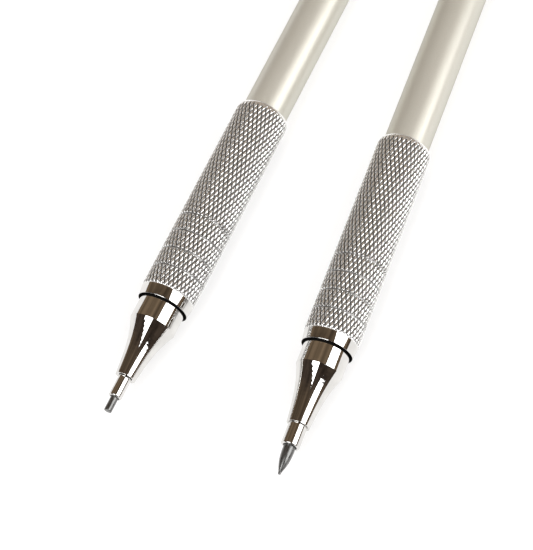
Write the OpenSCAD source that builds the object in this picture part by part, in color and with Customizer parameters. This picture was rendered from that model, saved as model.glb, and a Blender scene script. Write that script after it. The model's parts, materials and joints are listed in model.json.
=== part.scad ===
// A pair of all-metal drafting pencils lying side by side, tips towards -Y.
// The fine one holds a 1.3 mm lead, the broad one a sharpened 2 mm lead.
// Inside a pencil's modules Z runs along the pencil, from the guide pipe's mouth to the cap.

/* [Leads] */
// Diameter of the fine lead
fine_lead_d = 1.3; // [0.9:0.05:1.6]
// Diameter of the broad lead
broad_lead_d = 2; // [1.6:0.05:2.4]
// Length of a new lead
lead_len = 60; // [50:1:72]
// Length of blunt fine lead out of its guide pipe
fine_lead_out = 2.6; // [0.5:0.1:4]
// Length of sharpened broad lead out of its guide pipe
broad_lead_out = 5; // [4:0.1:7]
// Length of the broad lead's sharpened point
point_len = 4.6; // [2:0.1:6]
// Radius of the sharpened point's end
point_r = 0.15; // [0.1:0.05:0.3]
// Spare leads stored in the fine pencil
fine_spares = 2; // [1:1:2]
// Spare leads stored in the broad pencil
broad_spares = 1; // [1:1:1]

/* [Nose] */
// Wall of the fine guide pipe
fine_pipe_wall = 0.47; // [0.4:0.01:0.7]
// Wall of the broad guide pipe
broad_pipe_wall = 0.58; // [0.4:0.01:0.7]
// Length of guide pipe in front of the cone
pipe_out = 3.8; // [2:0.1:6]
// Step at the pipe's shoulder, where its thinner root enters the cone
pipe_shoulder = 0.2; // [0.16:0.01:0.25]
// Step from the fine pipe up to the cone's front edge
fine_nose_step = 0.62; // [0.3:0.01:0.8]
// Step from the broad pipe up to the cone's front edge
broad_nose_step = 0.38; // [0.3:0.01:0.8]
// Length of the cone's concave taper
taper_len = 10; // [8:0.1:13]
// Share of the taper's growth that is a straight cone
taper_straight = 0.5; // [0.3:0.05:0.8]
// How late the taper flares out to the collar
taper_power = 3.3; // [2:0.1:5]
// Length of collar that shows between taper and grip
collar_len = 3.85; // [2:0.05:6]
// Length of collar inside the grip
collar_seat = 3.85; // [2:0.05:6]
// Length of the cone's threaded spigot
spigot_len = 5.5; // [4:0.1:8]
// Wall of the spigot
spigot_wall = 0.5; // [0.4:0.05:0.8]
// Place of the chamber's front along the taper, as a share of it
chamber_at = 0.84; // [0.8:0.01:0.95]
// Length of the rubber lead retainer
retainer_len = 3; // [1.5:0.1:4]
// Wall of the rubber lead retainer
retainer_wall = 0.6; // [0.4:0.05:0.8]
// Web between guide pipe and retainer
nose_web = 0.8; // [0.5:0.1:1.5]

/* [Grip] */
// Diameter over the knurl
grip_d = 9.6; // [9:0.1:11.5]
// Length of the knurled part with its rounded shoulder
knurl_len = 38.3; // [32:0.1:46]
// Length of the plain band in front of the knurl
band_len = 2.1; // [1:0.1:4]
// Diameter of the band at its front edge
band_front_d = 8.94; // [8.9:0.01:9.2]
// Diameter of the band where the knurl begins
band_rear_d = 9.44; // [9.2:0.01:9.6]
// Wall left at the band's front edge
band_lip = 0.07; // [0.05:0.01:0.15]
// Depth of the recess between band and collar
mouth_depth = 1.5; // [0.5:0.1:3]
// Number of turned rings in the knurl
ring_count = 4; // [0:1:6]
// Distance from the knurl's front to the first ring
ring_first = 3.6; // [2:0.1:6]
// Distance between rings
ring_pitch = 3.45; // [2.5:0.05:5]
// Width of a ring
ring_w = 0.35; // [0.2:0.05:0.6]
// Depth of a ring
ring_depth = 0.3; // [0.1:0.05:0.4]
// Length of the rounded rear shoulder
shoulder_len = 1.8; // [1:0.1:3]
// Radial height of the rounded rear shoulder
shoulder_rise = 0.62; // [0.3:0.02:0.7]

/* [Barrel] */
// Outer diameter of the barrel and of the cone's collar
barrel_d = 8; // [6.6:0.1:8.6]
// Wall of the barrel tube
barrel_wall = 0.6; // [0.5:0.05:0.8]
// Length of the barrel tube
barrel_len = 106.5; // [88:0.5:130]

/* [Mechanism] */
// Travel of the push cap
press_travel = 3.5; // [2:0.1:4.2]
// Share of the travel that the clutch ring makes
clutch_share = 0.3; // [0.1:0.05:0.4]
// Length of the clutch ring
clutch_len = 3; // [2:0.1:4]
// Wall of the clutch ring over the chuck's head
clutch_wall = 0.3; // [0.25:0.05:0.5]
// Length of the chuck head's full diameter
head_len = 1.2; // [0.8:0.1:2]
// Length of the chuck head's cone
head_cone_len = 2.8; // [2:0.1:4]
// Wall of the chuck's stem
chuck_wall = 0.4; // [0.3:0.05:0.5]
// Width of the slots between the chuck's jaws
jaw_slot = 0.35; // [0.2:0.05:0.5]
// Length of the slots between the chuck's jaws
jaw_slot_len = 9; // [6:0.5:10]
// Length of the mechanism sleeve
sleeve_len = 22; // [18:0.5:28]
// Wall of the mechanism sleeve
sleeve_wall = 0.45; // [0.4:0.05:0.6]
// Thickness of the sleeve's front ledge
ledge_len = 1; // [0.6:0.1:2]
// Length of the chuck spring
spring_len = 11; // [9:0.5:14]
// Diameter of the spring wire
spring_wire = 0.4; // [0.3:0.05:0.5]
// Turns of the spring
spring_turns = 8; // [5:1:12]
// Wall of the lead tube
tube_wall = 0.4; // [0.3:0.05:0.5]
// Length of chuck stem inside the lead tube
socket_len = 4; // [3:0.1:6]
// Depth of the lead tube's end inside the barrel
tube_inset = 2; // [1:0.1:4]

/* [Rear] */
// Length of push cap that stands out of the barrel
cap_out = 14.4; // [11:0.1:18]
// Length of push cap inside the barrel
cap_in = 6; // [4.5:0.1:9]
// Thickness of the cap's closed end
cap_end = 3; // [2:0.1:4]
// Height of the cap's domed end
cap_dome = 0.9; // [0.5:0.1:1.5]
// Length of the eraser holder's plug
plug_len = 2.5; // [2:0.1:4]
// Length of the eraser holder's cup
cup_len = 7; // [5:0.1:8]
// Wall of the eraser holder's cup
cup_wall = 0.4; // [0.3:0.05:0.5]
// Floor of the eraser holder's cup
cup_floor = 1.2; // [0.8:0.1:2]
// Length of eraser that stands out of its cup
eraser_out = 2.4; // [1:0.1:3]

/* [Clip] */
// Length of the collar that carries the clip
clip_collar_len = 5; // [4:0.1:8]
// Distance from the clip collar to the barrel's rear end
clip_collar_back = 0.8; // [0:0.1:3]
// Length of clip in front of its collar
clip_len = 28; // [22:0.5:38]
// Width of the clip
clip_w = 3.2; // [2.5:0.1:4]
// Thickness of the clip
clip_t = 0.7; // [0.5:0.05:1]
// Gap between the clip's arm and the barrel
clip_gap = 1.9; // [1.5:0.1:2.5]
// Wall of the collar's block around the clip's root
clip_block_wall = 0.7; // [0.5:0.05:1]
// Thickness of the block's closed end behind the clip
clip_block_floor = 1; // [0.5:0.1:2]
// Height of the clip above the horizontal, as an angle around the barrel
clip_angle = 25; // [0:5:60]

/* [Layout] */
// Distance between the two guide pipes' mouths
tip_spacing = 29.7; // [24:0.1:40]
// Distance that the broad pencil lies further back
stagger = 2.6; // [-5:0.1:5]
// Angle of each pencil to the middle line
splay = 2.13; // [0:0.01:4]

/* [Hidden] */
$fn = 96;
FINE = 0;
BROAD = 1;
side = [-1, 1];

press_gap = 0.02; // radial gap between pieces pressed together
run_gap = 0.05; // radial gap of pieces that slide in each other
loose_gap = 0.15; // radial gap of pieces that only pass through
end_gap = 0.5; // gap left behind pieces that move lengthwise
swing_gap = 0.25; // room over and under the clip's root as it opens
over = 1; // how far a cut runs past the surface it opens

lead_r = [fine_lead_d / 2, broad_lead_d / 2];
lead_out = [fine_lead_out, broad_lead_out];
spares = [fine_spares, broad_spares];
pipe_r = [lead_r[0] + fine_pipe_wall, lead_r[1] + broad_pipe_wall];
pipe_root_r = [pipe_r[0] - pipe_shoulder, pipe_r[1] - pipe_shoulder];
nose_r = [pipe_r[0] + fine_nose_step, pipe_r[1] + broad_nose_step];

grip_r = grip_d / 2;
barrel_r = barrel_d / 2;
bore_r = barrel_r - barrel_wall;
spigot_r = bore_r - run_gap;
chamber_r = spigot_r - spigot_wall;
clutch_r = chamber_r - run_gap;
head_r = clutch_r - clutch_wall;
sleeve_r = bore_r - press_gap;
tube_r = sleeve_r - sleeve_wall - loose_gap;
tube_bore_r = tube_r - tube_wall;
cap_r = bore_r - loose_gap;
mouth_r = band_front_d / 2 - band_lip;

taper_z = pipe_out;
collar_z = taper_z + taper_len;
band_z = collar_z + collar_len;
knurl_z = band_z + band_len;
grip_end_z = knurl_z + knurl_len;
barrel_z = band_z + collar_seat;
barrel_end_z = barrel_z + barrel_len;
spigot_end_z = barrel_z + spigot_len;
chamber_z = taper_z + chamber_at * taper_len;
retainer_z = chamber_z - retainer_len - 2 * run_gap;
pipe_end_z = retainer_z - nose_web;
head_z = chamber_z + press_travel + end_gap;
clutch_z = head_z + head_len + head_cone_len / 4;
sleeve_z = spigot_end_z + end_gap;
spring_z = sleeve_z + ledge_len + run_gap;
tube_z = spring_z + spring_len + run_gap;
tube_end_z = barrel_end_z - tube_inset;
cavity_z = tube_z + socket_len;
plug_z = tube_end_z - plug_len;
cup_end_z = tube_end_z + cup_len;
cap_z = barrel_end_z - cap_in;
cap_end_z = barrel_end_z + cap_out;
spare_z = lead_len + end_gap;
spare_len = min(lead_len, plug_z - spare_z - end_gap);
clip_collar_z = barrel_end_z - clip_collar_back - clip_collar_len;
clip_tip_z = clip_collar_z - clip_len;
clip_r = barrel_r + clip_gap;
clip_pivot_z = clip_collar_z + clip_collar_len / 2;

mouth_y = [-stagger / 2, stagger / 2];
front_y = min(mouth_y[0] - lead_out[0] * cos(splay), mouth_y[1] - lead_out[1] * cos(splay));
back_y = max(mouth_y) + cap_end_z * cos(splay);
mid_y = (front_y + back_y) / 2;

function stem_r(k) = lead_r[k] + run_gap + chuck_wall;
function taper_r(k, u) = nose_r[k]
    + (barrel_r - nose_r[k]) * (taper_straight * u + (1 - taper_straight) * pow(u, taper_power));

// Lays a pencil that was made along Z down in its place, tip towards -Y.
module lay(k) {
    translate([side[k] * tip_spacing / 2, mouth_y[k] - mid_y, grip_r])
        rotate([0, 0, side[k] * splay])
            rotate([-90, 0, 0])
                children();
}

// A turned piece from the outline points [radius, z].
module turned(points) {
    rotate_extrude() polygon(points);
}

// A tube of two radii between two heights.
module tube(r_out, r_in, z0, z1) {
    turned([[r_in, z0], [r_out, z0], [r_out, z1], [r_in, z1]]);
}

// Turns a clip piece to its angle around the barrel, with X pointing away from the barrel.
module at_clip(k) {
    rotate([0, 0, side[k] > 0 ? -clip_angle : 180 + clip_angle]) children();
}

module blunt_lead(k) {
    edge = lead_r[k] / 4;
    color("dimgray") turned([
        [0, -lead_out[k]],
        [lead_r[k] - edge, -lead_out[k]],
        [lead_r[k], edge - lead_out[k]],
        [lead_r[k], lead_len - lead_out[k]],
        [0, lead_len - lead_out[k]]
    ]);
}

// The point's sides bulge a little, as a sharpened lead's do.
module sharp_lead(k) {
    tip_z = -lead_out[k];
    steps = 8;
    bulge = 0.55;
    side_points = [for (i = [0:steps]) [
        point_r + (lead_r[k] - point_r) * sin(90 * i / steps) * (bulge + (1 - bulge) * i / steps),
        tip_z + point_r + (point_len - point_r) * i / steps
    ]];
    color("dimgray") turned(concat(
        [[0, tip_z], [point_r * sin(45), tip_z + point_r * (1 - cos(45))]],
        side_points,
        [[lead_r[k], lead_len + tip_z], [0, lead_len + tip_z]]
    ));
}

// Pressed in from the front until its shoulder meets the cone.
module guide_pipe(k) {
    bevel = 0.15;
    color("silver") turned([
        [lead_r[k] + run_gap, bevel],
        [lead_r[k] + run_gap + bevel, 0],
        [pipe_r[k] - bevel, 0],
        [pipe_r[k], bevel],
        [pipe_r[k], taper_z],
        [pipe_root_r[k], taper_z],
        [pipe_root_r[k], pipe_end_z],
        [lead_r[k] + run_gap, pipe_end_z]
    ]);
}

module nose_cone(k) {
    steps = 14;
    edge = 0.08;
    taper = [for (i = [0:steps]) [taper_r(k, i / steps), taper_z + taper_len * i / steps]];
    seat_r = pipe_root_r[k] + press_gap;
    pocket_r = lead_r[k] + run_gap + retainer_wall + press_gap;
    color("silver") turned(concat(
        [[seat_r, taper_z], [nose_r[k] - edge, taper_z], [nose_r[k], taper_z + edge]],
        [for (i = [1:steps]) taper[i]],
        [
            [barrel_r, barrel_z], [spigot_r, barrel_z],
            [spigot_r, spigot_end_z], [chamber_r, spigot_end_z],
            [chamber_r, chamber_z], [pocket_r, chamber_z],
            [pocket_r, retainer_z - run_gap], [lead_r[k] + loose_gap, retainer_z - run_gap],
            [lead_r[k] + loose_gap, pipe_end_z + run_gap], [seat_r, pipe_end_z + run_gap]
        ]
    ));
}

module lead_retainer(k) {
    inner = lead_r[k] + run_gap;
    color("black") tube(inner + retainer_wall, inner, retainer_z, retainer_z + retainer_len);
}

// The rings are cut square, the rear shoulder is a quarter of an ellipse.
module grip(k) {
    steps = 8;
    inner = barrel_r + press_gap;
    shoulder = [for (i = [0:steps]) [
        grip_r - shoulder_rise * (1 - cos(90 * i / steps)),
        grip_end_z - shoulder_len * (1 - sin(90 * i / steps))
    ]];
    color("gainsboro") difference() {
        turned(concat(
            [
                [inner, band_z + mouth_depth], [mouth_r, band_z + mouth_depth],
                [mouth_r, band_z], [band_front_d / 2, band_z],
                [band_rear_d / 2, knurl_z], [grip_r, knurl_z]
            ],
            shoulder,
            [[inner, grip_end_z]]
        ));
        for (i = [0:1:ring_count - 1])
            translate([0, 0, knurl_z + ring_first + i * ring_pitch - ring_w / 2])
                tube(grip_r + over, grip_r - ring_depth, 0, ring_w);
    }
}

module barrel(k) {
    color("antiquewhite") tube(barrel_r, bore_r, barrel_z + press_gap, barrel_end_z);
}

module mechanism_sleeve(k) {
    color("goldenrod") turned([
        [stem_r(k) + loose_gap, sleeve_z],
        [sleeve_r, sleeve_z],
        [sleeve_r, sleeve_z + sleeve_len],
        [sleeve_r - sleeve_wall, sleeve_z + sleeve_len],
        [sleeve_r - sleeve_wall, sleeve_z + ledge_len],
        [stem_r(k) + loose_gap, sleeve_z + ledge_len]
    ]);
}

// Three jaws, from slots cut through the front of a hollow stem.
module chuck(k) {
    cone_z = head_z + head_len;
    color("goldenrod") difference() {
        turned([
            [lead_r[k] + run_gap, head_z],
            [head_r, head_z],
            [head_r, cone_z],
            [stem_r(k), cone_z + head_cone_len],
            [stem_r(k), cavity_z],
            [lead_r[k] + run_gap, cavity_z]
        ]);
        for (a = [0:120:240])
            rotate([0, 0, a])
                translate([0, -jaw_slot / 2, head_z - over])
                    cube([head_r + over, jaw_slot, jaw_slot_len + over]);
    }
}

// The bore's front follows the chuck's cone, one running gap away from it.
module clutch_ring(k) {
    cone_end_z = head_z + head_len + head_cone_len;
    cone_share = (cone_end_z - clutch_z) / head_cone_len;
    front_r = stem_r(k) + (head_r - stem_r(k)) * cone_share + run_gap;
    color("gold") turned([
        [front_r, clutch_z],
        [clutch_r, clutch_z],
        [clutch_r, clutch_z + clutch_len],
        [stem_r(k) + run_gap, clutch_z + clutch_len],
        [stem_r(k) + run_gap, cone_end_z + run_gap]
    ]);
}

// A helix of round wire, swept ring by ring.
module chuck_spring(k) {
    sides = 8;
    per_turn = 16;
    wire_r = spring_wire / 2;
    mean_r = stem_r(k) + loose_gap + wire_r;
    rings = spring_turns * per_turn;
    rise = (spring_len - spring_wire) / rings;
    points = [for (i = [0:rings]) for (j = [0:sides - 1])
        let (a = 360 * i / per_turn, b = 360 * j / sides, r = mean_r + wire_r * cos(b))
        [r * cos(a), r * sin(a), spring_z + wire_r + rise * i + wire_r * sin(b)]];
    walls = [for (i = [0:rings - 1]) for (j = [0:sides - 1])
        let (a = i * sides + j, b = i * sides + (j + 1) % sides)
        [a, a + sides, b + sides, b]];
    ends = [
        [for (j = [0:sides - 1]) j],
        [for (j = [0:sides - 1]) rings * sides + sides - 1 - j]
    ];
    color("lightsteelblue") polyhedron(points, concat(walls, ends));
}

module lead_tube(k) {
    color("burlywood") turned([
        [stem_r(k) + press_gap, tube_z],
        [tube_r, tube_z],
        [tube_r, tube_end_z],
        [tube_bore_r, tube_end_z],
        [tube_bore_r, cavity_z + run_gap],
        [stem_r(k) + press_gap, cavity_z + run_gap]
    ]);
}

// The leads lie on the bottom of the tube, side by side.
module spare_leads(k) {
    seat_r = tube_bore_r - lead_r[k] - press_gap;
    offset_x = (spares[k] - 1) * (lead_r[k] + press_gap);
    drop = sqrt(seat_r * seat_r - offset_x * offset_x);
    color("dimgray")
        for (i = [0:spares[k] - 1])
            translate([offset_x * (2 * i - spares[k] + 1), drop, spare_z])
                cylinder(r = lead_r[k], h = spare_len);
}

module eraser_holder(k) {
    plug_r = tube_bore_r - run_gap;
    color("silver") turned([
        [0, plug_z],
        [plug_r, plug_z],
        [plug_r, tube_end_z + run_gap],
        [tube_r, tube_end_z + run_gap],
        [tube_r, cup_end_z],
        [tube_r - cup_wall, cup_end_z],
        [tube_r - cup_wall, tube_end_z + cup_floor],
        [0, tube_end_z + cup_floor]
    ]);
}

module eraser(k) {
    eraser_r = tube_r - cup_wall - press_gap;
    edge = 0.4;
    color("white") turned([
        [0, tube_end_z + cup_floor + press_gap],
        [eraser_r, tube_end_z + cup_floor + press_gap],
        [eraser_r, cup_end_z + eraser_out - edge],
        [eraser_r - edge, cup_end_z + eraser_out],
        [0, cup_end_z + eraser_out]
    ]);
}

module push_cap(k) {
    steps = 6;
    inner = tube_r + run_gap;
    edge = 0.3;
    dome = [for (i = [0:steps]) [
        (cap_r - edge) * cos(90 * i / steps),
        cap_end_z - cap_dome + cap_dome * sin(90 * i / steps)
    ]];
    color("silver") turned(concat(
        [
            [inner, cap_z], [cap_r, cap_z],
            [cap_r, cap_end_z - cap_dome - edge]
        ],
        dome,
        [[0, cap_end_z - cap_end], [inner, cap_end_z - cap_end]]
    ));
}

// A ring around the barrel with a slotted block that takes the clip's root.
module clip_collar(k) {
    block_in_r = (barrel_r + grip_r) / 2;
    block_r = clip_r + clip_t + clip_block_wall;
    block_w = clip_w + 2 * clip_block_wall;
    color("silver") difference() {
        union() {
            tube(grip_r, barrel_r + press_gap, clip_collar_z, clip_collar_z + clip_collar_len);
            at_clip(k)
                translate([block_in_r, -block_w / 2, clip_collar_z])
                    cube([block_r - block_in_r, block_w, clip_collar_len]);
        }
        at_clip(k)
            translate([clip_r - swing_gap, -clip_w / 2 - loose_gap, clip_collar_z - over])
                cube([
                    clip_t + 2 * swing_gap,
                    clip_w + 2 * loose_gap,
                    clip_collar_len - clip_block_floor + over
                ]);
    }
}

// A flat spring arm whose rounded tip comes down beside the barrel.
module clip(k) {
    tip_gap = 0.12;
    root_gap = 0.3;
    tip_r = (clip_r + clip_t - barrel_r - tip_gap) / 2;
    root_z = clip_collar_z + clip_collar_len - clip_block_floor - root_gap;
    color("silver") at_clip(k) {
        translate([clip_r, -clip_w / 2, clip_tip_z + tip_r])
            cube([clip_t, clip_w, root_z - clip_tip_z - tip_r]);
        translate([clip_r + clip_t - tip_r, clip_w / 2, clip_tip_z + tip_r])
            rotate([90, 0, 0])
                cylinder(r = tip_r, h = clip_w);
    }
}

lay(FINE) blunt_lead(FINE);  // fine_lead
lay(FINE) guide_pipe(FINE);  // fine_guide_pipe
lay(FINE) nose_cone(FINE);  // fine_nose_cone
lay(FINE) lead_retainer(FINE);  // fine_lead_retainer
lay(FINE) grip(FINE);  // fine_grip
lay(FINE) barrel(FINE);  // fine_barrel
lay(FINE) mechanism_sleeve(FINE);  // fine_mechanism_sleeve
lay(FINE) chuck(FINE);  // fine_chuck
lay(FINE) clutch_ring(FINE);  // fine_clutch_ring
lay(FINE) chuck_spring(FINE);  // fine_chuck_spring
lay(FINE) lead_tube(FINE);  // fine_lead_tube
lay(FINE) spare_leads(FINE);  // fine_spare_leads
lay(FINE) eraser_holder(FINE);  // fine_eraser_holder
lay(FINE) eraser(FINE);  // fine_eraser
lay(FINE) push_cap(FINE);  // fine_push_cap
lay(FINE) clip_collar(FINE);  // fine_clip_collar
lay(FINE) clip(FINE);  // fine_clip

lay(BROAD) sharp_lead(BROAD);  // broad_lead
lay(BROAD) guide_pipe(BROAD);  // broad_guide_pipe
lay(BROAD) nose_cone(BROAD);  // broad_nose_cone
lay(BROAD) lead_retainer(BROAD);  // broad_lead_retainer
lay(BROAD) grip(BROAD);  // broad_grip
lay(BROAD) barrel(BROAD);  // broad_barrel
lay(BROAD) mechanism_sleeve(BROAD);  // broad_mechanism_sleeve
lay(BROAD) chuck(BROAD);  // broad_chuck
lay(BROAD) clutch_ring(BROAD);  // broad_clutch_ring
lay(BROAD) chuck_spring(BROAD);  // broad_chuck_spring
lay(BROAD) lead_tube(BROAD);  // broad_lead_tube
lay(BROAD) spare_leads(BROAD);  // broad_spare_lead
lay(BROAD) eraser_holder(BROAD);  // broad_eraser_holder
lay(BROAD) eraser(BROAD);  // broad_eraser
lay(BROAD) push_cap(BROAD);  // broad_push_cap
lay(BROAD) clip_collar(BROAD);  // broad_clip_collar
lay(BROAD) clip(BROAD);  // broad_clip
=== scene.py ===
"""Looks of a pair of all-metal drafting pencils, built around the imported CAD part.

Each pencil has its own axes: x points sideways, y runs along it from the guide pipe's
mouth to the cap, and z points up. Pieces are made in those axes, in metres, and their
sizes and places are measured on the CAD nodes that they stand for.
"""

import json
import math

import bmesh
import bpy
import numpy as np
from mathutils import Matrix, Vector


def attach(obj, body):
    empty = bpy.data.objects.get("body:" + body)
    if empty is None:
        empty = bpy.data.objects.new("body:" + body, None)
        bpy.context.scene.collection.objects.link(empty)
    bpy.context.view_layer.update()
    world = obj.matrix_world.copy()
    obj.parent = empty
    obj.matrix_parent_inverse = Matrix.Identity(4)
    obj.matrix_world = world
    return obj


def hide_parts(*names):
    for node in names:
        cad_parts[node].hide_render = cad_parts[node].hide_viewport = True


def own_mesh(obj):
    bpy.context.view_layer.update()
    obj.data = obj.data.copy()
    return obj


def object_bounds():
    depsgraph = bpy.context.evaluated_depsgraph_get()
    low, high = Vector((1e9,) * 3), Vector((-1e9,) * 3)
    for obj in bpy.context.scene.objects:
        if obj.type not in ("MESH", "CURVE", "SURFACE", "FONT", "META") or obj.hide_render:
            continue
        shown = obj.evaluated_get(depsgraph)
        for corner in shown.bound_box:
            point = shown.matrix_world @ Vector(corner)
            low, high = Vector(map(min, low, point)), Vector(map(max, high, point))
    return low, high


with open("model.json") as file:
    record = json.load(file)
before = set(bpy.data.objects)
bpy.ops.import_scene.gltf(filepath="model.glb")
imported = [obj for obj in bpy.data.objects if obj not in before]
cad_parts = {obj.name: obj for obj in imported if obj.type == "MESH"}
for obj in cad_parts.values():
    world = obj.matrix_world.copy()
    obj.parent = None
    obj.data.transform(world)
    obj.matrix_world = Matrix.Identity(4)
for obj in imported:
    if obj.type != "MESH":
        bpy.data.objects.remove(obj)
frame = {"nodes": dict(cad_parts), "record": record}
CAD_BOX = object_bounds()
MM = 0.001
SAME = 0.004 * MM    # CAD places or radii this close together are the same edge
INSIDE = 0.01 * MM   # far enough past an edge to tell one side of it from the other


# ---------------------------------------------------------------- measuring the frame

class Pencil:
    """One pencil's axes, and what its CAD nodes measure along and around them."""

    def __init__(self, name):
        self.name = name
        mounts = {m["name"]: m for m in frame["record"]["mounts"]}
        pipe = mounts[f"{name}_guide_pipe"]
        along = -Vector(pipe["axis"]).normalized()
        side = Vector((along.y, -along.x, 0))
        start = Vector(pipe["pos_m"])
        self.axes = Matrix.Identity(4)
        for column, axis in enumerate((side, along, Vector((0, 0, 1)), start)):
            for row in range(3):
                self.axes[row][column] = axis[row]
        mouth = self.points("guide_pipe")[:, 0].min()
        self.axes.translation = start + along * float(mouth)

    def local(self, node):
        """The vertices of a CAD node in the pencil's axes."""
        mesh = frame["nodes"][f"{self.name}_{node}"].data
        points = np.array([v.co for v in mesh.vertices], float).reshape(-1, 3)
        to_local = np.array(self.axes.inverted())
        return points @ to_local[:3, :3].T + to_local[:3, 3]

    def points(self, node):
        """(place along the pencil, radius) of each vertex of a CAD node."""
        p = self.local(node)
        return np.column_stack([p[:, 1], np.hypot(p[:, 0], p[:, 2])])

    def span(self, node):
        """Where a CAD node starts and ends along the pencil."""
        t = self.points(node)[:, 0]
        return float(t.min()), float(t.max())

    def radius(self, node):
        """The largest radius of a CAD node."""
        return float(self.points(node)[:, 1].max())

    def bore(self, node):
        """The smallest radius of a CAD node."""
        return float(self.points(node)[:, 1].min())

    def outline(self, node, low, high):
        """The CAD node's outer outline between two places, as (place, radius)."""
        found = {}
        slack = 0.001 * MM
        for t, r in self.points(node):
            key = round(t / INSIDE)
            if low - slack <= t <= high + slack and r > found.get(key, (0, 0))[1]:
                found[key] = (float(t), float(r))
        return [found[key] for key in sorted(found)]

    def first_at(self, node, radius):
        """The first place along the pencil where a CAD node has this radius."""
        t, r = self.points(node).T
        return float(t[np.abs(r - radius) < SAME].min())

    def last_at(self, node, radius):
        """The last place along the pencil where a CAD node has this radius."""
        t, r = self.points(node).T
        return float(t[np.abs(r - radius) < SAME].max())


# ---------------------------------------------------------------- outlines

HOLD = 0.03 * MM       # a rounded corner's shading ends this far along its sides
ON_AXIS = 0.0001 * MM  # a smaller radius is a point on the axis


def rounded(corners, closed=True, steps=5):
    """A (place, radius) outline from corners of (place, radius, fillet radius)."""
    out = []
    count = len(corners)
    for i, (t, r, fillet) in enumerate(corners):
        here = Vector((t, r))
        if fillet <= 0 or (not closed and i in (0, count - 1)):
            out.append((t, r))
            continue
        before = Vector(corners[i - 1][:2]) - here
        after = Vector(corners[(i + 1) % count][:2]) - here
        reach = min(fillet, 0.4 * before.length, 0.4 * after.length)
        start = here + before.normalized() * reach
        end = here + after.normalized() * reach
        hold = min(HOLD, 0.2 * before.length, 0.2 * after.length)
        out.append(tuple(start + before.normalized() * hold))
        for k in range(steps + 1):
            s = k / steps
            out.append(tuple(start * (1 - s) ** 2 + here * (2 * s * (1 - s)) + end * s**2))
        out.append(tuple(end + after.normalized() * hold))
    return out


def rising(outline):
    """The points of an outline that are wider than all before them."""
    kept = []
    for t, r in outline:
        if not kept or r > kept[-1][1]:
            kept.append((t, r))
    return kept


def smooth_curve(points, steps=6):
    """A smooth curve through points, from Catmull-Rom pieces."""
    p = [Vector(x) for x in points]
    p = [p[0] * 2 - p[1]] + p + [p[-1] * 2 - p[-2]]
    out = []
    for i in range(1, len(p) - 2):
        a, b, c, d = p[i - 1:i + 3]
        for k in range(steps):
            s = k / steps
            out.append(tuple((
                b * 2 + (c - a) * s + (a * 2 - b * 5 + c * 4 - d) * s**2
                + (b * 3 - a - c * 3 + d) * s**3
            ) / 2))
    return out + [tuple(p[-2])]


# ---------------------------------------------------------------- meshes

def place(pencil, mesh, node, body, finishes, slot, replaces=None):
    """Puts a mesh made in the pencil's axes in its place, riding on its CAD body."""
    mesh.transform(pencil.axes)
    piece = bpy.data.objects.new(f"{pencil.name}_{node}_visual", mesh)
    bpy.context.scene.collection.objects.link(piece)
    for finish in finishes:
        mesh.materials.append(finish)
    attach(piece, f"{pencil.name}_{body}")
    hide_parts(*(replaces or [f"{pencil.name}_{node}"]))
    return piece


def mesh_of(name, points, faces, dark=(), bright=()):
    """A smooth mesh whose faces all point outwards. Faces in dark take the piece's second
    finish, and faces in bright take its third."""
    mesh = bpy.data.meshes.new(name)
    mesh.from_pydata(points, [], faces)
    for i in dark:
        mesh.polygons[i].material_index = 1
    for i in bright:
        mesh.polygons[i].material_index = 2
    edit = bmesh.new()
    edit.from_mesh(mesh)
    bmesh.ops.recalc_face_normals(edit, faces=edit.faces)
    edit.to_mesh(mesh)
    edit.free()
    mesh.polygons.foreach_set("use_smooth", [True] * len(mesh.polygons))
    mesh.update()
    return mesh


def turned(name, outline, closed=True, segments=160, is_dark=None):
    """Turns an outline of (place, radius) round the pencil's axis. A closed outline gives
    a ring or tube, and an open one starts and ends on the axis. is_dark(place, radius)
    says which faces take the second finish."""
    points, rings, faces, dark = [], [], [], []
    for t, r in outline:
        if r < ON_AXIS:
            rings.append([len(points)] * segments)
            points.append((0, t, 0))
            continue
        rings.append(range(len(points), len(points) + segments))
        for k in range(segments):
            angle = 2 * math.pi * k / segments
            points.append((r * math.sin(angle), t, r * math.cos(angle)))
    pairs = [(i, i + 1) for i in range(len(rings) - 1)]
    if closed:
        pairs.append((len(rings) - 1, 0))
    for i, j in pairs:
        middle = [(a + b) / 2 for a, b in zip(outline[i], outline[j])]
        for k in range(segments):
            n = (k + 1) % segments
            face = [rings[i][k], rings[i][n], rings[j][n], rings[j][k]]
            if is_dark and is_dark(*middle):
                dark.append(len(faces))
            faces.append(list(dict.fromkeys(face)))
    return mesh_of(name, points, faces, dark)


# ---------------------------------------------------------------- finishes

MIX_SHARE, MIX_ONE, MIX_OTHER, MIX_COLOUR = 0, 6, 7, 2   # a colour mix's sockets


def add_node(tree, kind, inputs=(), **settings):
    """A new node whose inputs are values or the sockets of other nodes."""
    made = tree.nodes.new(kind)
    for key, value in settings.items():
        setattr(made, key, value)
    for key, value in dict(inputs).items():
        if isinstance(value, bpy.types.NodeSocket):
            tree.links.new(value, made.inputs[key])
        else:
            made.inputs[key].default_value = value
    return made


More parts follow.
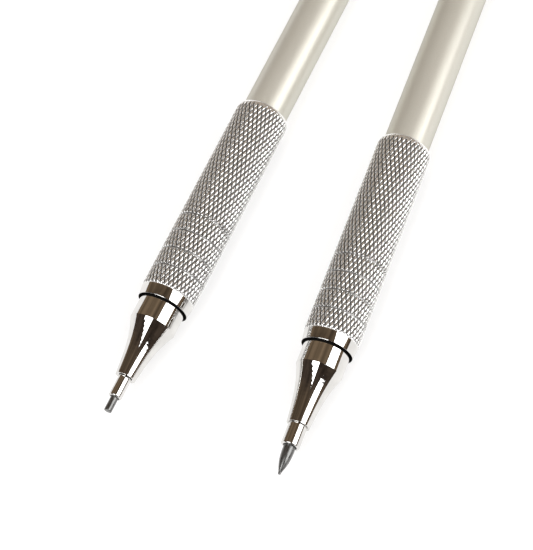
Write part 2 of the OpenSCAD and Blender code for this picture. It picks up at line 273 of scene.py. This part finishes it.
class Finish:
    """A small builder for one procedural material on the Principled shader."""

    def __init__(self, name, base, metallic, roughness):
        self.material = bpy.data.materials.new(name)
        self.material.use_nodes = True
        self.tree = self.material.node_tree
        self.shader = self.tree.nodes["Principled BSDF"]
        self.shader.inputs["Base Color"].default_value = (*base, 1)
        self.shader.inputs["Metallic"].default_value = metallic
        self.shader.inputs["Roughness"].default_value = roughness
        self.place = self.node("ShaderNodeTexCoord").outputs["Object"]

    def node(self, kind, inputs=(), **settings):
        return add_node(self.tree, kind, inputs, **settings)

    def noise(self, size_mm, detail=3.0, stretch=(1, 1, 1)):
        """Noise whose features are about size_mm across, times stretch along each axis."""
        scale = [1 / (size_mm * MM * s) for s in stretch]
        place = self.node("ShaderNodeMapping", {"Vector": self.place, "Scale": scale})
        return self.node(
            "ShaderNodeTexNoise",
            {"Vector": place.outputs[0], "Scale": 1.0, "Detail": detail},
        ).outputs[0]

    def span(self, value, low, high, start=0.3, end=0.7):
        """Maps a value from start..end to low..high."""
        return self.node("ShaderNodeMapRange", {
            "Value": value, "From Min": start, "From Max": end, "To Min": low, "To Max": high,
        }).outputs[0]

    def mixed(self, share, one, other):
        """A colour that goes from one to other as share goes from 0 to 1."""
        one, other = (
            c if isinstance(c, bpy.types.NodeSocket) else (*c, 1) for c in (one, other)
        )
        inputs = {MIX_SHARE: share, MIX_ONE: one, MIX_OTHER: other}
        mix = self.node("ShaderNodeMix", inputs, data_type="RGBA")
        return mix.outputs[MIX_COLOUR]

    def colour(self, socket):
        self.tree.links.new(socket, self.shader.inputs["Base Color"])

    def rough(self, socket):
        self.tree.links.new(socket, self.shader.inputs["Roughness"])

    def raise_by(self, height, depth_mm):
        """Gives the surface a bump of this depth."""
        bump = self.node("ShaderNodeBump", {
            "Height": height, "Distance": depth_mm * MM, "Strength": 1.0,
        })
        self.tree.links.new(bump.outputs[0], self.shader.inputs["Normal"])


def chrome():
    """Polished plate with very faint turning marks and a few dull smudges."""
    f = Finish("polished_chrome", (0.72, 0.71, 0.69), 1.0, 0.04)
    smudge = f.noise(2.5, 4.0)
    f.rough(f.span(smudge, 0.02, 0.06))
    f.colour(f.mixed(f.span(smudge, 0, 1), (0.74, 0.73, 0.71), (0.66, 0.65, 0.63)))
    f.raise_by(f.noise(0.08, 2.0, (40, 1, 40)), 0.00005)
    return f.material


def painted_recess_shade():
    """Painted shade for the slot and the bores: near black, mottled at random."""
    f = Finish("painted_recess_shade", (0.006, 0.006, 0.006), 0.0, 0.6)
    shade_mottle = f.noise(0.4, 3.0)
    f.colour(f.mixed(shade_mottle, (0.003, 0.003, 0.003), (0.012, 0.011, 0.010)))
    f.rough(f.span(shade_mottle, 0.5, 0.8))
    f.shader.inputs["Specular IOR Level"].default_value = 0.1
    return f.material


def knurled_chrome():
    """Chrome plate over the knurl: bright crests, and dull grooves darkened by painted shade.
    """
    f = Finish("knurled_chrome", (0.94, 0.94, 0.93), 0.80, 0.12)
    groove_shade = f.node("ShaderNodeAttribute", attribute_name="groove_shade").outputs["Fac"]
    shade_mottle = f.noise(1.5, 4.0)
    # painted shade: the deeper a groove or a turned ring's floor, the nearer this near-black,
    # mottled at random
    low = f.mixed(shade_mottle, (0.015, 0.013, 0.011), (0.06, 0.052, 0.045))
    f.colour(f.mixed(f.span(groove_shade, 0, 1, 0.66, 0.86), (0.96, 0.96, 0.95), low))
    f.rough(f.span(groove_shade, 0.12, 0.4, 0.5, 1.0))
    f.raise_by(f.noise(0.35, 2.0), 0.06)
    return f.material


def satin_barrel():
    """Warm silver satin tube: fine blasted grain with soft marks from handling."""
    f = Finish("satin_barrel", (0.70, 0.685, 0.615), 0.55, 0.38)
    marks = f.noise(6.0, 4.0, (1, 3, 1))
    grain = f.noise(0.06, 2.0, (1, 3, 1))
    f.rough(f.span(marks, 0.35, 0.42))
    f.shader.inputs["Specular Tint"].default_value = (0.35, 0.35, 0.33, 1)
    f.colour(f.mixed(f.span(grain, 0, 1), (0.72, 0.705, 0.635), (0.67, 0.655, 0.585)))
    f.shader.inputs["Specular IOR Level"].default_value = 0.2
    f.raise_by(grain, 0.0006)
    return f.material


def graphite():
    """Pressed graphite: grey-black with a soft metallic sheen and rubbed streaks."""
    f = Finish("graphite", (0.26, 0.26, 0.255), 0.88, 0.3)
    streak = f.noise(0.2, 3.0, (1, 6, 1))
    f.colour(f.mixed(f.span(streak, 0, 1), (0.12, 0.12, 0.118), (0.24, 0.24, 0.235)))
    f.rough(f.span(streak, 0.24, 0.36))
    f.raise_by(f.noise(0.12, 3.0, (1, 4, 1)), 0.002)
    return f.material


def brass():
    """Turned brass of the mechanism, a little tarnished."""
    f = Finish("turned_brass", (0.72, 0.50, 0.22), 1.0, 0.22)
    tarnish = f.noise(1.2, 5.0)
    f.colour(f.mixed(f.span(tarnish, 0, 1), (0.76, 0.55, 0.26), (0.50, 0.33, 0.14)))
    f.rough(f.span(tarnish, 0.16, 0.34))
    f.raise_by(f.noise(0.05, 2.0, (40, 1, 40)), 0.001)
    return f.material


def spring_steel():
    """Drawn wire with faint drawing lines."""
    f = Finish("spring_steel", (0.52, 0.53, 0.55), 1.0, 0.25)
    lines = f.noise(0.1, 3.0)
    f.rough(f.span(lines, 0.18, 0.34))
    f.colour(f.mixed(lines, (0.46, 0.47, 0.49), (0.60, 0.61, 0.63)))
    f.raise_by(lines, 0.001)
    return f.material


def rubber():
    """Black moulded rubber of the lead retainer."""
    f = Finish("black_rubber", (0.02, 0.02, 0.02), 0.0, 0.8)
    dust = f.noise(0.3, 4.0)
    f.colour(f.mixed(dust, (0.015, 0.015, 0.015), (0.035, 0.034, 0.033)))
    f.rough(f.span(dust, 0.7, 0.9))
    f.raise_by(dust, 0.004)
    return f.material


def tube_plastic():
    """Ivory moulded plastic of the lead tube."""
    f = Finish("tube_plastic", (0.80, 0.76, 0.66), 0.0, 0.45)
    flow = f.noise(2.0, 3.0, (1, 4, 1))
    f.colour(f.mixed(flow, (0.78, 0.73, 0.62), (0.84, 0.80, 0.71)))
    f.rough(f.span(flow, 0.38, 0.52))
    f.raise_by(f.noise(0.1, 3.0), 0.002)
    return f.material


def eraser_rubber():
    """White eraser, slightly smudged with graphite."""
    f = Finish("white_eraser", (0.84, 0.83, 0.80), 0.0, 0.75)
    smudge = f.noise(0.8, 5.0)
    f.colour(f.mixed(f.span(smudge, 0, 1, 0.45, 0.8), (0.86, 0.85, 0.82), (0.62, 0.61, 0.60)))
    f.rough(f.span(smudge, 0.65, 0.85))
    f.raise_by(f.noise(0.08, 4.0), 0.01)
    return f.material


CHROME = chrome()
# near-black painted shade for the nose's slot, the bores and the grip's mouth
PAINTED_SHADE = painted_recess_shade()
KNURL = knurled_chrome()
SATIN = satin_barrel()
GRAPHITE = graphite()
BRASS = brass()
STEEL = spring_steel()
RUBBER = rubber()
PLASTIC = tube_plastic()
ERASER = eraser_rubber()


# ---------------------------------------------------------------- front pieces

LEAD_WEAR = 2.4          # above 1 a sharpened lead is fuller between tip and shoulder
LEAD_TIP_R = 0.24 * MM   # radius of a sharpened lead's worn tip
LEAD_RINGS = 28          # steps from a sharpened lead's tip to its shoulder
BLUNT_CORNERS = 3        # a blunt lead's CAD outline has no more points than this


def lead(p):
    """The lead. A blunt one has a rounded edge. A sharpened one has a point as long as
    the CAD's, with full sides and a worn tip."""
    start, end = p.span("lead")
    r = p.radius("lead")
    front = [x for x in p.outline("lead", start, 0) if x[1] > 2 * INSIDE]
    if len(front) > BLUNT_CORNERS:
        length = next(t for t, x in front if x > r - INSIDE) - start
        nose = []
        for k in range(LEAD_RINGS + 1):
            share = (k / LEAD_RINGS) ** 2
            fuller = r * (1 - (1 - share) ** LEAD_WEAR)
            blunt = min(math.sqrt(2 * LEAD_TIP_R * share * length), LEAD_TIP_R)
            nose.append((start + share * length, min(r, (fuller**4 + blunt**4) ** 0.25)))
    else:
        nose = rounded([(start, 0, 0), (start, r, r * 0.25), (0, r, 0)], closed=False)
    tail = rounded([(0, r, 0), (end, r, 0.1 * MM), (end, 0, 0)], closed=False)
    mesh = turned(f"{p.name}_lead", nose + tail[1:], closed=False, segments=96)
    place(p, mesh, "lead", "lead_body", [GRAPHITE], "graphite")


PIPE_BEVEL = 0.15 * MM   # inside and outside the guide pipe's mouth
DARK_BEVEL = 0.6         # share of the inner bevel that takes the bore's painted shade


def guide_pipe(p):
    """Thin pipe with a bevelled mouth. Its bore is painted dark as shade."""
    start, end = p.span("guide_pipe")
    r, bore = p.radius("guide_pipe"), p.bore("guide_pipe")
    shoulder = p.span("nose_cone")[0]
    root = max(x[1] for x in p.outline("guide_pipe", end - INSIDE, end))
    outline = rounded([
        (end, bore, 0), (PIPE_BEVEL, bore, 0.05 * MM), (start, bore + PIPE_BEVEL, 0.03 * MM),
        (start, r - PIPE_BEVEL, 0.05 * MM), (PIPE_BEVEL, r, 0.08 * MM),
        (shoulder, r, 0.03 * MM), (shoulder, root, 0), (end, root, 0),
    ])
    # faces inside this radius, the bore and most of its bevel, take painted shade
    dark_r = bore + PIPE_BEVEL * DARK_BEVEL
    mesh = turned(f"{p.name}_guide_pipe", outline, is_dark=lambda t, radius: radius < dark_r)
    place(p, mesh, "guide_pipe", "nose", [CHROME, PAINTED_SHADE], "chrome")


NECK_LENGTH = 0.34 * MM      # the slot, painted black as shade, starts this far in front of the band
NECK_DEPTH = 0.3 * MM
RECESS_LENGTH = 1.4 * MM     # the slot goes on this far under the band
NOSE_EDGE = 0.14 * MM        # rounding of the cone's front edge
SLOT_EDGE = 0.04 * MM        # rounding of the slot's corners
CONE_CLEARANCE = 0.05 * MM   # behind the pipe's end and in front of the retainer


def nose_cone(p):
    """Concave taper with a crisp collar, and the spigot and chamber behind it."""
    start, end = p.span("nose_cone")
    collar_r = p.radius("nose_cone")
    collar = p.first_at("nose_cone", collar_r)
    radii = p.points("nose_cone")
    seat = float(radii[np.abs(radii[:, 0] - start) < SAME, 1].min())
    taper = rising(p.outline("nose_cone", start + 0.05 * MM, collar))
    nose = taper[0][1]
    outside = {(round(t, 7), round(r, 7)) for t, r in taper}
    inside = {(round(float(t), 7), round(float(r), 7)) for t, r in radii
              if r < collar_r - INSIDE and t > start + 0.2 * MM} - outside
    barrel = p.span("barrel")[0]
    spigot = max(r for t, r in inside if t > barrel)
    chamber = min(r for t, r in inside if t > end - INSIDE)
    step = min(t for t, r in inside if abs(r - chamber) < SAME)
    root = p.span("guide_pipe")[1] + CONE_CLEARANCE
    pocket = p.radius("lead_retainer") + 0.02 * MM
    throat = p.bore("lead_retainer") + 0.1 * MM
    web = p.span("lead_retainer")[0] - CONE_CLEARANCE
    band = p.span("grip")[0]
    neck, neck_r = band - NECK_LENGTH, collar_r - NECK_DEPTH
    unlit, recess = band + NECK_DEPTH, band + RECESS_LENGTH
    curve = smooth_curve([(start + NOSE_EDGE, nose)] + taper[1:])
    tip = [(start, seat, 0), (start, nose, NOSE_EDGE), (start + NOSE_EDGE, nose, 0)]
    rest = [
        curve[-2] + (0,), (collar, collar_r, 0.05 * MM),
        (neck, collar_r, SLOT_EDGE), (neck, neck_r, SLOT_EDGE), (unlit, neck_r, 0),
        (recess, neck_r, SLOT_EDGE), (recess, collar_r, SLOT_EDGE),
        (barrel, collar_r, 0.1 * MM), (barrel, spigot, 0.05 * MM),
        (end, spigot, 0.15 * MM), (end, chamber, 0.05 * MM),
        (step, chamber, 0), (step, pocket, 0), (web, pocket, 0), (web, throat, 0),
        (root, throat, 0), (root, seat, 0), (start, seat, 0),
    ]
    outline = rounded(tip, False)[:-1] + curve[1:-1] + rounded(rest, False)[1:-1]
    wall = neck + 0.002 * MM   # just behind the slot's front wall, which stays bright
    # the slot's faces from just behind its front wall to unlit take near-black painted shade
    mesh = turned(
        f"{p.name}_nose_cone", outline, segments=256, is_dark=lambda t, r: wall < t < unlit,
    )
    place(p, mesh, "nose_cone", "nose", [CHROME, PAINTED_SHADE], "chrome")


# ---------------------------------------------------------------- knurled grip

GROOVES = 38               # knurling grooves of each hand around the grip
PER_GROOVE = 12            # mesh steps from one groove to the next
KNURL_PERIOD = 1.93 * MM   # from one diamond to the next along the grip
KNURL_DEPTH = 0.22 * MM
KNURL_CREST = 3.0          # above 1 the crests are flatter than the grooves
RING_SHADE = 0.80          # the turned rings' floors are as dark as a groove this deep
RING_WALL = 0.03 * MM      # how far along the grip a ring's sides slope
RELIEF_DEPTH = 0.16 * MM   # the thin turned line between band and knurl
RELIEF_WIDTH = 0.14 * MM
RUN_OUT = 1.1              # how steeply the knurl rises behind that line
ROUND_OFF = np.linspace(1.1, 1.56, 6)   # angles of the rows round the knurl's rear edge
MOUTH_ROWS = 2             # the first rows of the grip, whose faces are painted dark as shade
RELIEF_ROWS = 4            # the rows of the turned line, just before the knurl's


def grip_rows(p):
    """Rows of the grip's outer side: (place, radius limit, is it knurled)."""
    start, end = p.span("grip")
    crest = p.radius("grip")
    knurl = p.first_at("grip", crest)
    shoulder = p.last_at("grip", crest)
    band_r = p.outline("grip", start, knurl - INSIDE)[0][1]
    t, r = p.points("grip").T
    before = np.abs(t - knurl) < SAME
    band_end_r = float(r[before & (r < crest - INSIDE) & (r > band_r)].max())
    edge_r = max(x[1] for x in p.outline("grip", end - INSIDE, end))
    ring_r = float(r[(r < crest - 0.2 * MM) & (r > p.radius("barrel") + 0.3 * MM)
                     & (t > knurl + MM) & (t < shoulder - 5 * MM)].max())
    ring_t = sorted({round(float(x), 6) for x in t[np.abs(r - ring_r) < SAME]
                     if knurl + MM < x < shoulder})
    rings = list(zip(ring_t[::2], ring_t[1::2]))

    def limit(x):
        """The radius that turning leaves, which cuts the diamonds off."""
        low = crest - RELIEF_DEPTH - 0.04 * MM
        allowed = min(crest, low + max(0.0, x - knurl) * RUN_OUT)
        if x > shoulder:
            s = min(1.0, (x - shoulder) / (end - shoulder))
            allowed = min(allowed, edge_r + (crest - edge_r) * math.sqrt(1 - s * s))
        return allowed

    places = list(np.arange(knurl, end - 2 * INSIDE, KNURL_PERIOD / PER_GROOVE))
    for low, high in rings:
        places = [x for x in places if not low - 5 * INSIDE < x < high + 5 * INSIDE]
        steps = [RING_WALL * share for share in (-1, 0, 0.5, 1)]
        places += [low + x for x in steps] + [(low + high) / 2] + [high - x for x in steps]
    places += [shoulder + (end - shoulder) * math.sin(a) for a in ROUND_OFF]
    rows = []
    for x in sorted(places):
        in_ring = any(low + RING_WALL / 4 < x < high - RING_WALL / 4 for low, high in rings)
        rows.append((x, ring_r if in_ring else limit(x), not in_ring))
    relief_r = band_end_r - RELIEF_DEPTH * 0.8
    relief = [
        (knurl - RELIEF_WIDTH - HOLD, band_end_r, False),
        (knurl - RELIEF_WIDTH, band_end_r, False),
        (knurl - RELIEF_WIDTH * 0.6, relief_r, False),
        (knurl - RELIEF_WIDTH * 0.2, relief_r, False),
    ]
    front = [
        (start + 0.06 * MM, band_r + 0.007 * MM, False),
        (start + 0.1 * MM, band_r + 0.012 * MM, False),
    ]
    return front + relief + rows, edge_r, end


def grip(p):
    """The grip as one closed surface, with real diamonds between two sets of grooves.
    Its band is bright, its grooves and turned rings carry painted shade, and its mouth
    and bore are painted dark as shade."""
    rows, edge_r, end = grip_rows(p)
    start = p.span("grip")[0]
    crest = p.radius("grip")
    inner = p.bore("grip")
    t, r = p.points("grip").T
    front = r[np.abs(t - start) < SAME]
    mouth, rim = float(front.min()), float(front.max())
    floor = p.first_at("grip", inner)
    rows = [
        (floor, mouth, False), (start + 0.05 * MM, mouth, False),
        (start + 0.015 * MM, mouth + 0.012 * MM, False), (start, (mouth + rim) / 2, False),
        (start + 0.015 * MM, rim - 0.012 * MM, False),
    ] + rows + [
        (end, edge_r - 0.05 * MM, False), (end, inner + 0.1 * MM, False),
        (end - 0.1 * MM, inner, False), (floor, inner, False),
    ]
    around = GROOVES * PER_GROOVE
    turn = np.arange(around) / PER_GROOVE
    points, groove_shade = [], []
    first_knurled = next(i for i, row in enumerate(rows) if row[2])
    last_knurled = max(i for i, row in enumerate(rows) if row[2])
    angle = 2 * np.pi * np.arange(around) / around
    for i, (spot, limit, knurled) in enumerate(rows):
        radius = np.full(around, limit)
        # painted shade: the turned rings' floors, and below the knurl's grooves, darken by
        # depth
        shade = np.full(around, RING_SHADE if first_knurled < i < last_knurled else 0.0)
        if knurled:
            along = spot / KNURL_PERIOD
            one = np.abs(2 * ((turn + along) % 1.0) - 1)
            two = np.abs(2 * ((turn - along) % 1.0) - 1)
            deep = np.maximum(one, two)
            cut = crest - KNURL_DEPTH * deep**KNURL_CREST
            radius = np.minimum(cut, limit)
            # painted shade in each groove, by how deep it is
            shade = np.where(cut < limit - INSIDE, deep, 0.0)
        points.append(np.column_stack([
            radius * np.sin(angle), np.full(around, spot), radius * np.cos(angle),
        ]))
        groove_shade.append(shade)
    points = np.concatenate(points)
    groove_shade = np.concatenate(groove_shade).astype(np.float32)
    faces = []
    for i in range(len(rows)):
        j = (i + 1) % len(rows)
        a, b = i * around, j * around
        faces += [
            (a + k, a + (k + 1) % around, b + (k + 1) % around, b + k)
            for k in range(around)
        ]
    # the mouth and bore faces take near-black painted shade
    mouth_faces = range(MOUTH_ROWS * around)
    bore_faces = range((len(rows) - 1) * around, len(rows) * around)
    dark = [*mouth_faces, *bore_faces]
    bright = range(MOUTH_ROWS * around, (first_knurled - RELIEF_ROWS) * around)
    mesh = mesh_of(f"{p.name}_grip", points.tolist(), faces, dark, bright)
    mesh.attributes.new("groove_shade", "FLOAT", "POINT").data.foreach_set("value", groove_shade)
    place(p, mesh, "grip", "body", [KNURL, PAINTED_SHADE, CHROME], "knurled_chrome")


# ---------------------------------------------------------------- barrel and rear pieces

def barrel(p):
    """Satin tube with rounded ends."""
    start, end = p.span("barrel")
    r, bore = p.radius("barrel"), p.bore("barrel")
    outline = rounded([
        (start, bore, 0.05 * MM), (start, r, 0.05 * MM), (end, r, 0.25 * MM),
        (end, bore, 0.1 * MM),
    ])
    mesh = turned(f"{p.name}_barrel", outline, segments=256)
    place(p, mesh, "barrel", "body", [SATIN], "satin_barrel")


CAP_LINE = 1.5 * MM      # the turned line's distance from the cap's dome
CAP_LINE_CUT = 0.12 * MM
CAP_DOME = 78            # degrees that the dome's outline turns through


def push_cap(p):
    """Polished button: a domed end and a fine turned line near it."""
    start, end = p.span("push_cap")
    r = p.radius("push_cap")
    bore = p.radius("eraser_holder") + 0.05 * MM
    t, radii = p.points("push_cap").T
    floor = float(t[np.abs(radii - bore) < INSIDE].max())
    dome = p.last_at("push_cap", r)
    line, cut = dome - CAP_LINE, CAP_LINE_CUT
    top = [
        (end - (end - dome) * (1 - math.cos(a)), r * math.sin(a))
        for a in np.linspace(math.radians(CAP_DOME), 0, 12)
    ]
    outline = [(floor, 0.0)] + rounded([
        (floor, 0, 0), (floor, bore, 0.2 * MM), (start, bore, 0.1 * MM), (start, r, 0.2 * MM),
        (line - 2 * cut, r, 0.04 * MM), (line - cut, r - cut, 0.03 * MM),
        (line, r, 0.04 * MM), (dome, r, 0.25 * MM), top[0] + (0,),
    ], closed=False)[1:] + top[1:-1] + [(end, 0.0)]
    mesh = turned(f"{p.name}_push_cap", outline, closed=False, segments=192)
    place(p, mesh, "push_cap", "cap_body", [CHROME], "chrome")


def chuck_spring(p):
    """The wire coil, taken as the CAD node has it, with smooth shading."""
    start, end = p.span("chuck_spring")
    wire = frame["nodes"][f"{p.name}_chuck_spring"].data.copy()
    wire.materials.clear()
    wire.transform(p.axes.inverted())
    wire.polygons.foreach_set("use_smooth", [True] * len(wire.polygons))
    piece = place(p, wire, "chuck_spring", "body", [STEEL], "spring_steel")
    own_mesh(piece)


CLIP_ROOT = 6 * MM        # the arm is full width this far from its root
CLIP_NARROWING = 0.28     # share of its width that the arm would lose by its tip
CLIP_EDGE = 0.35          # rounding of the arm's edges, as a share of its thickness
CLIP_EDGE_STEPS = 6
SHARP = math.radians(50)  # the shading breaks where its faces meet at more than this


def clip(p):
    """Spring arm with rounded edges: a flat root, and a tip that curls up again."""
    q = p.local("clip")
    outward = Vector((q[:, 0].mean(), 0, q[:, 2].mean())).normalized()
    sideways = outward.cross(Vector((0, 1, 0)))
    height = q @ np.array(outward)
    across = q @ np.array(sideways)
    tip, root = float(q[:, 1].min()), float(q[:, 1].max())
    top, low = float(height.max()), float(height.min())
    width = float(across.max() - across.min())
    at_root = height[q[:, 1] > root - 0.1 * MM]
    thick = float(at_root.max() - at_root.min())
    arm = top - thick / 2
    touch = low + thick / 2
    path = smooth_curve([
        (root, arm), (root - 0.5 * MM, arm),
        (tip + 9 * MM, arm), (tip + 5 * MM, arm - 0.1 * MM),
        (tip + 3.2 * MM, (arm + touch) / 2), (tip + 1.9 * MM, touch),
        (tip + 1.1 * MM, touch + 0.1 * MM), (tip + thick / 2, touch + 0.65 * MM),
    ], steps=8)
    corner = thick * CLIP_EDGE
    section = []
    for cx, cy, first in ((1, 1, 0), (-1, 1, 90), (-1, -1, 180), (1, -1, 270)):
        for k in range(CLIP_EDGE_STEPS + 1):
            a = math.radians(first + 90 * k / CLIP_EDGE_STEPS)
            section.append((
                cx * (width / 2 - corner) + corner * math.cos(a),
                cy * (thick / 2 - corner) + corner * math.sin(a),
            ))
    points, faces = [], []
    for i, (t, h) in enumerate(path):
        before, after = Vector(path[max(i - 1, 0)]), Vector(path[min(i + 1, len(path) - 1)])
        lean = (after - before).normalized()
        share = max(0.0, min(1.0, (root - CLIP_ROOT - t) / (root - tip)))
        narrow = 1 - CLIP_NARROWING * share
        for x, y in section:
            points.append(tuple(
                sideways * x * narrow + outward * (h - y * lean.x)
                + Vector((0, t + y * lean.y, 0))
            ))
    n = len(section)
    for i in range(len(path) - 1):
        for k in range(n):
            a, b, after = i * n, (i + 1) * n, (k + 1) % n
            faces.append((a + k, a + after, b + after, b + k))
    faces.append(tuple(range(n)))
    faces.append(tuple(range((len(path) - 1) * n, len(path) * n)))
    mesh = mesh_of(f"{p.name}_clip", points, faces)
    mesh.set_sharp_from_angle(angle=SHARP)
    place(p, mesh, "clip", "clip_body", [CHROME], "chrome")


def soften(node, finish, bevel_mm=0.0):
    """Gives a CAD node its finish, and fine rounded edges without moving it."""
    piece = frame["nodes"][node]
    piece.data.materials.clear()
    piece.data.materials.append(finish)
    if bevel_mm:
        piece.modifiers.new("join", "WELD").merge_threshold = 0.001 * MM
        edges = piece.modifiers.new("edges", "BEVEL")
        edges.width = bevel_mm * MM
        edges.segments = 3
        edges.limit_method = "ANGLE"
        edges.angle_limit = math.radians(40)
        edges.harden_normals = True


# CAD nodes that stay as they are: node, finish, slot, bevel of its edges in mm
CARRIED = (
    ("mechanism_sleeve", BRASS, "brass", 0.05),
    ("chuck", BRASS, "brass", 0.0),
    ("clutch_ring", BRASS, "brass", 0.05),
    ("lead_tube", PLASTIC, "tube_plastic", 0.05),
    ("lead_retainer", RUBBER, "rubber", 0.05),
    ("eraser_holder", CHROME, "chrome", 0.04),
    ("eraser", ERASER, "eraser", 0.1),
    ("clip_collar", CHROME, "chrome", 0.12),
)

for name in ("fine", "broad"):
    pencil = Pencil(name)
    lead(pencil)
    guide_pipe(pencil)
    nose_cone(pencil)
    grip(pencil)
    barrel(pencil)
    push_cap(pencil)
    clip(pencil)
    chuck_spring(pencil)
    for node, finish, slot, bevel in CARRIED:
        soften(f"{name}_{node}", finish, bevel)
soften("fine_spare_leads", GRAPHITE)
soften("broad_spare_lead", GRAPHITE)


# ---------------------------------------------------------------- stage, lights, camera

def floor():
    """A big pale sheet that glows a little, as a light table does."""
    bpy.ops.mesh.primitive_circle_add(vertices=96, radius=4.0, fill_type="NGON")
    sheet = bpy.context.object
    sheet.name = "floor"
    sheet.location.z = CAD_BOX[0].z - 0.02 * MM
    f = Finish("pale_sheet", (0.50, 0.50, 0.50), 0.0, 0.9)
    f.shader.inputs["Specular IOR Level"].default_value = 0.0
    f.shader.inputs["Emission Color"].default_value = (1, 1, 1, 1)
    f.shader.inputs["Emission Strength"].default_value = 0.55
    sheet.data.materials.append(f.material)


def softbox(name, corners, strength):
    """A flat four-cornered light, which shows in the metal but not to the camera."""
    mesh = bpy.data.meshes.new(name)
    mesh.from_pydata([tuple(c) for c in corners], [], [(0, 1, 2, 3)])
    panel = bpy.data.objects.new(name, mesh)
    bpy.context.scene.collection.objects.link(panel)
    glow = bpy.data.materials.new(name)
    glow.use_nodes = True
    tree = glow.node_tree
    tree.nodes.clear()
    light = add_node(tree, "ShaderNodeEmission", {"Strength": strength})
    add_node(tree, "ShaderNodeOutputMaterial", {"Surface": light.outputs[0]})
    mesh.materials.append(glow)
    panel.visible_camera = False


def surroundings():
    """The dim brown room that the chrome reflects, lighter towards the caps' side."""
    world = bpy.data.worlds.new("room")
    bpy.context.scene.world = world
    world.use_nodes = True
    tree = world.node_tree
    back = tree.nodes["Background"]
    direction = add_node(tree, "ShaderNodeTexCoord").outputs["Generated"]
    axes = add_node(tree, "ShaderNodeSeparateXYZ", {"Vector": direction})
    rearward = add_node(tree, "ShaderNodeMapRange", {
        "Value": axes.outputs["Y"], "From Min": -0.1, "From Max": 0.45,
    })
    room = add_node(tree, "ShaderNodeMix", {
        MIX_SHARE: rearward.outputs[0],
        MIX_ONE: (0.055, 0.040, 0.030, 1), MIX_OTHER: (0.19, 0.135, 0.085, 1),
    }, data_type="RGBA")
    shapes = add_node(tree, "ShaderNodeTexNoise", {
        "Vector": direction, "Scale": 2.2, "Detail": 2.0,
    })
    strength = add_node(tree, "ShaderNodeMapRange", {
        "Value": shapes.outputs[0], "From Min": 0.35, "From Max": 0.65,
        "To Min": 0.45, "To Max": 1.5,
    })
    tree.links.new(room.outputs[MIX_COLOUR], back.inputs["Color"])
    tree.links.new(strength.outputs[0], back.inputs["Strength"])


def fill():
    """Wide soft light from above that the metal doesn't mirror."""
    data = bpy.data.lights.new("fill", "AREA")
    data.size = 2.4
    data.energy = 22.0
    lamp = bpy.data.objects.new("fill", data)
    bpy.context.scene.collection.objects.link(lamp)
    lamp.location = (0, 0, 2.0)
    lamp.visible_glossy = False


AZIMUTH = math.radians(-28.4)   # the camera looks this far round from +Y
ELEVATION = math.radians(63.9)  # and this far down
ROLL = math.radians(-6.5)
DISTANCE = 0.297                # from the camera to the point it aims at, in metres
LENS_RATIO = 3.229091           # focal length over the long side of the image
AIM = Vector((-0.30, -41.76, 4.8)) * MM


def camera():
    """A camera over the pencils, where the photographer's was."""
    data = bpy.data.cameras.new("camera")
    data.lens = data.sensor_width * LENS_RATIO
    data.clip_start = 0.01
    data.clip_end = 20
    view = bpy.data.objects.new("camera", data)
    bpy.context.scene.collection.objects.link(view)
    forward = Vector((
        math.cos(ELEVATION) * math.sin(AZIMUTH), math.cos(ELEVATION) * math.cos(AZIMUTH),
        -math.sin(ELEVATION),
    ))
    right = forward.cross(Vector((0, 0, 1))).normalized()
    up = right.cross(forward)
    turned_right = right * math.cos(ROLL) + up * math.sin(ROLL)
    turned_up = up * math.cos(ROLL) - right * math.sin(ROLL)
    view.matrix_world = Matrix((
        (turned_right.x, turned_up.x, -forward.x, 0),
        (turned_right.y, turned_up.y, -forward.y, 0),
        (turned_right.z, turned_up.z, -forward.z, 0),
        (0, 0, 0, 1),
    ))
    view.location = AIM - forward * DISTANCE
    bpy.context.scene.camera = view


NOSE = Vector((0, CAD_BOX[0].y + 14 * MM, 5 * MM))  # the lights are set out from here
SOFTBOX_STRENGTH = 4.0
RIGHT_SOFTBOX = ((1, -0.08, 0.50), (1, -0.28, 1.40), (1, 0.90, 2.85), (1, 0.75, 0.20))
FRONT_SOFTBOX = ((0, -0.05, 1), (0, -1.9, 1), (-1.3, -1.9, 1), (-1.1, -0.73, 1))

floor()
surroundings()
fill()
softbox("right_softbox", [NOSE + Vector(c) for c in RIGHT_SOFTBOX], SOFTBOX_STRENGTH)
softbox("front_softbox", [NOSE + Vector(c) for c in FRONT_SOFTBOX], SOFTBOX_STRENGTH)
camera()
bpy.context.scene.view_settings.view_transform = "Standard"
